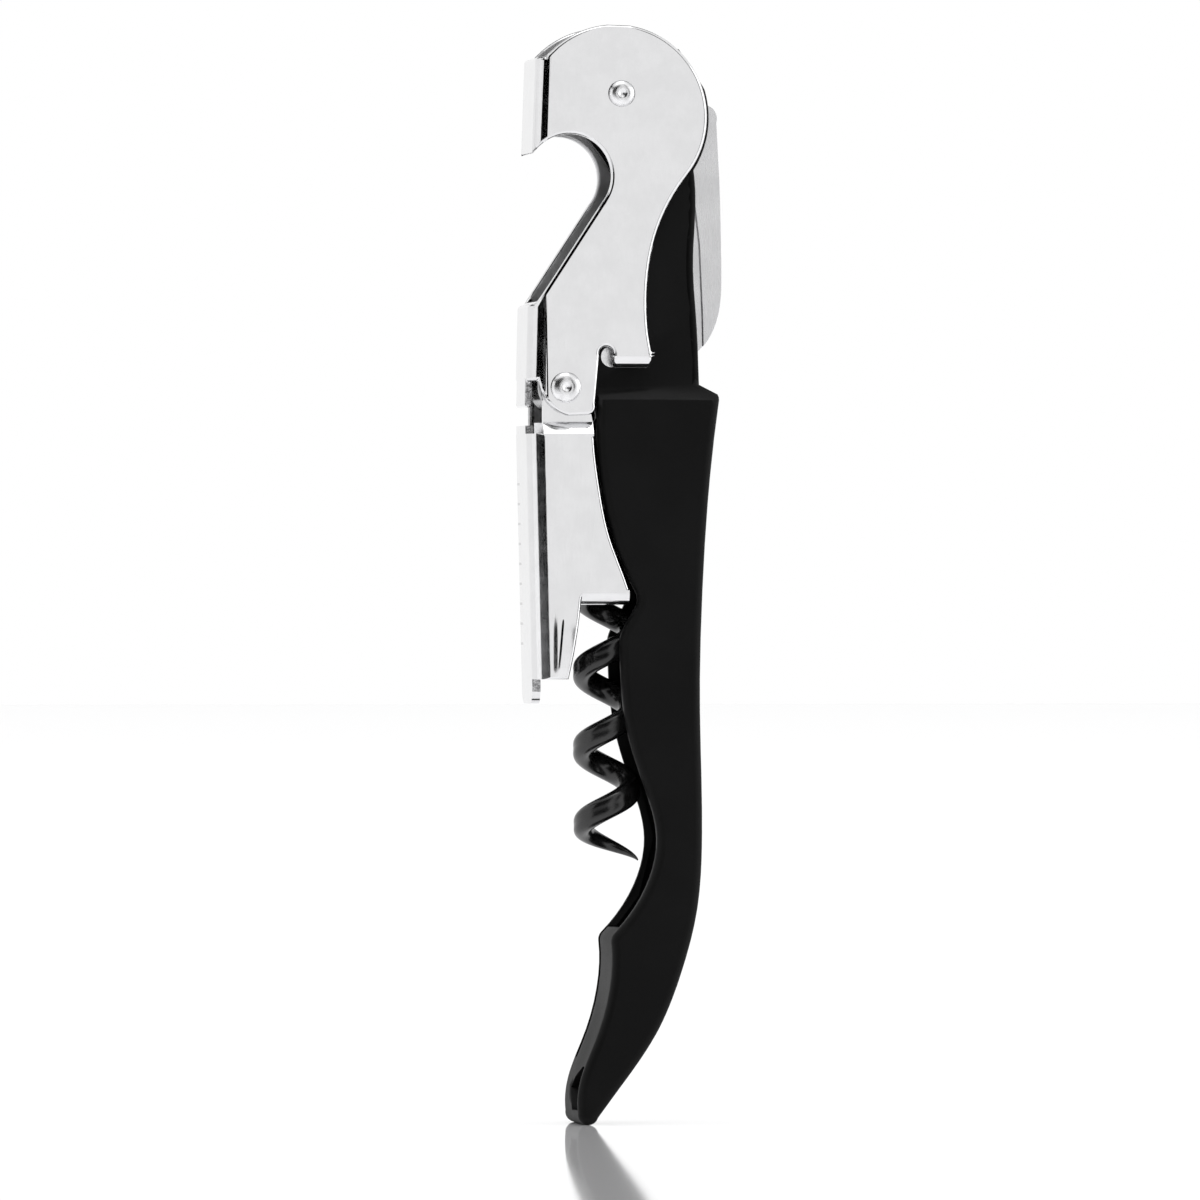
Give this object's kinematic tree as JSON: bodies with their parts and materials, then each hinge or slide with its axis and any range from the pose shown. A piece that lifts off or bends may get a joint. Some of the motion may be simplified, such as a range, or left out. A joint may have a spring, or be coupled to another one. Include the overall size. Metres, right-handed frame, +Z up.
{
  "type": "lever corkscrew",
  "caption": "Folding waiter's corkscrew with a double-hinged lever arm, cap-lifter mouth, right-handed worm and serrated foil knife on a soft black handle.",
  "frame": {"origin": "centre of the folded tool's box, on the plane of its tail tip", "axes": "+Z up the folded tool from tail to lever head, -X to the lever's ruled spine, +X to the handle's back, +Y across the width"},
  "size_m": [0.0224, 0.0134, 0.121],
  "materials": {
    "soft_black": "matte soft-touch coat over folded steel sheet",
    "bright_plate": "bright nickel-chrome plate on folded steel sheet",
    "gloss_black": "glossy black non-stick coat on steel wire",
    "stainless": "ground stainless steel",
    "bright_pin": "bright plated steel",
    "dark_steel": "plain turned steel",
    "spring_steel": "drawn spring steel"
  },
  "bodies": {
    "handle": {"handle_shell": "soft_black", "head_rivet": "bright_pin", "head_washer_left": "dark_steel", "head_washer_right": "dark_steel", "knife_spacer_left": "dark_steel", "knife_spacer_right": "dark_steel", "knife_friction_washer": "spring_steel", "worm_pin": "bright_pin", "worm_spacer_left": "dark_steel", "worm_spacer_right": "dark_steel"},
    "upper_arm": {"upper_lever_arm": "bright_plate", "hinge_rivet": "bright_pin", "hinge_sleeve": "dark_steel"},
    "lower_arm": {"lower_lever_arm": "bright_plate", "hinge_torsion_spring": "spring_steel"},
    "worm": {"worm": "gloss_black"},
    "knife": {"knife_blade": "stainless"}
  },
  "joints": [
    {"name": "lever_fold", "type": "hinge", "parent": "handle", "child": "upper_arm", "pos_m": [-0.00074, 0, 0.11343], "axis": [0, 1, 0], "range_deg": [0, 140]},
    {"name": "step_fold", "type": "hinge", "parent": "upper_arm", "child": "lower_arm", "pos_m": [-0.00692, 0, 0.0811], "axis": [0, 1, 0], "range_deg": [0, 35], "stiffness_Nm_per_rad": 0.02, "springref_deg": -11.46, "deforming": ["hinge_torsion_spring"]},
    {"name": "worm_fold", "type": "hinge", "parent": "handle", "child": "worm", "pos_m": [-0.00155, 0, 0.08453], "axis": [0, 1, 0], "range_deg": [0, 90]},
    {"name": "knife_fold", "type": "hinge", "parent": "handle", "child": "knife", "pos_m": [-0.00074, 0, 0.11343], "axis": [0, 1, 0], "range_deg": [-150, 0]}
  ],
  "couplings": [
    {"joint": "worm_fold", "follows": "lever_fold", "ratio": 0.64286}
  ]
}
